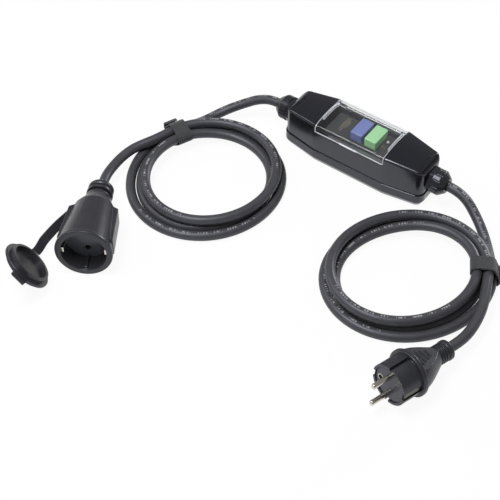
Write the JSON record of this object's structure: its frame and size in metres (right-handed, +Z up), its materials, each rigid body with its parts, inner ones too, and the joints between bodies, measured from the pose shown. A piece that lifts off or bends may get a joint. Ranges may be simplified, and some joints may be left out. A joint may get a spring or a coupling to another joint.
{
  "type": "in-line residual current protector cord",
  "caption": "In-line residual current protector box with a clear lid over its keys, on a coiled rubber extension cord with an earthed plug and a capped coupling.",
  "frame": {"origin": "centre of the protector box at its underside, on the surface that it stands on", "axes": "+X along the box towards the gland of the plug cord, +Y towards its lid hinge, +Z up"},
  "size_m": [0.3717, 0.3375, 0.0508],
  "materials": {
    "housing_plastic": "gloss",
    "clear_plastic": "polished",
    "seal_rubber": "matte",
    "steel": "satin",
    "blue_plastic": "satin",
    "green_plastic": "satin",
    "board": "satin",
    "switch_plastic": "matte",
    "lamp_plastic": "gloss",
    "relay_plastic": "gloss",
    "capacitor_plastic": "gloss",
    "ferrite": "matte",
    "copper": "satin",
    "gland_plastic": "satin",
    "cord_rubber": "satin",
    "core_insulation": "satin",
    "tie_fabric": "matte",
    "moulded_rubber": "satin",
    "insert_plastic": "satin",
    "nickel": "polished"
  },
  "bodies": {
    "housing": {"base_shell": "housing_plastic", "board_screws": "steel", "button_panel": "housing_plastic", "coil_left": "cord_rubber", "coil_right": "cord_rubber", "contact_relay": "relay_plastic", "cord_coupling": "cord_rubber", "cord_entry_left": "cord_rubber", "cord_entry_right": "cord_rubber", "cord_left": "cord_rubber", "cord_plug": "cord_rubber", "cord_right": "cord_rubber", "cores_left": "core_insulation", "cores_right": "core_insulation", "coupling_contacts": "nickel", "coupling_earth_clips": "nickel", "coupling_insert": "insert_plastic", "coupling_shell": "moulded_rubber", "film_capacitor": "capacitor_plastic", "gland_body_left": "gland_plastic", "gland_body_right": "gland_plastic", "gland_locknut_left": "gland_plastic", "gland_locknut_right": "gland_plastic", "gland_nut_left": "gland_plastic", "gland_nut_right": "gland_plastic", "gland_seal_left": "seal_rubber", "gland_seal_right": "seal_rubber", "housing_gasket": "seal_rubber", "housing_screws": "steel", "key_board": "board", "key_switches": "switch_plastic", "lid_hinge_pins": "steel", "main_board": "board", "plug_body": "moulded_rubber", "plug_earth_contacts": "nickel", "plug_insert": "insert_plastic", "plug_pins": "nickel", "reset_spring": "steel", "round_capacitor": "switch_plastic", "status_lamp": "lamp_plastic", "terminal_blocks": "switch_plastic", "test_spring": "steel", "tie_left": "tie_fabric", "tie_right": "tie_fabric", "top_shell": "housing_plastic", "transformer_core": "ferrite", "transformer_winding": "copper", "varistor": "relay_plastic"},
    "lid": {"clear_lid": "clear_plastic"},
    "test_key": {"test_button": "blue_plastic"},
    "reset_key": {"reset_button": "green_plastic"},
    "strap": {"cap_strap": "moulded_rubber"},
    "cap": {"cap": "moulded_rubber"}
  },
  "joints": [
    {"name": "lid_hinge", "type": "hinge", "parent": "housing", "child": "lid", "pos_m": [0, 0.0214, 0.0397], "axis": [-1, 0, 0], "range_deg": [0, 110]},
    {"name": "test_push", "type": "slide", "parent": "housing", "child": "test_key", "axis": [0, 0, -1], "range_m": [0, 0.0025], "stiffness_N_per_m": 400, "springref_m": -0.002, "deforming": ["test_spring"]},
    {"name": "reset_push", "type": "slide", "parent": "housing", "child": "reset_key", "axis": [0, 0, -1], "range_m": [0, 0.0025], "stiffness_N_per_m": 400, "springref_m": -0.002, "deforming": ["reset_spring"]},
    {"name": "strap_swivel", "type": "hinge", "parent": "housing", "child": "strap", "pos_m": [-0.15968, -0.18846, 0.01714], "axis": [-0.5179, 0.8484, -0.1097], "range_deg": [0, 180]},
    {"name": "cap_tilt", "type": "hinge", "parent": "strap", "child": "cap", "pos_m": [-0.16709, -0.26853, 0.00553], "axis": [-0.7688, -0.0867, 0.6336], "range_deg": [0, 35], "stiffness_Nm_per_rad": 0.01}
  ]
}
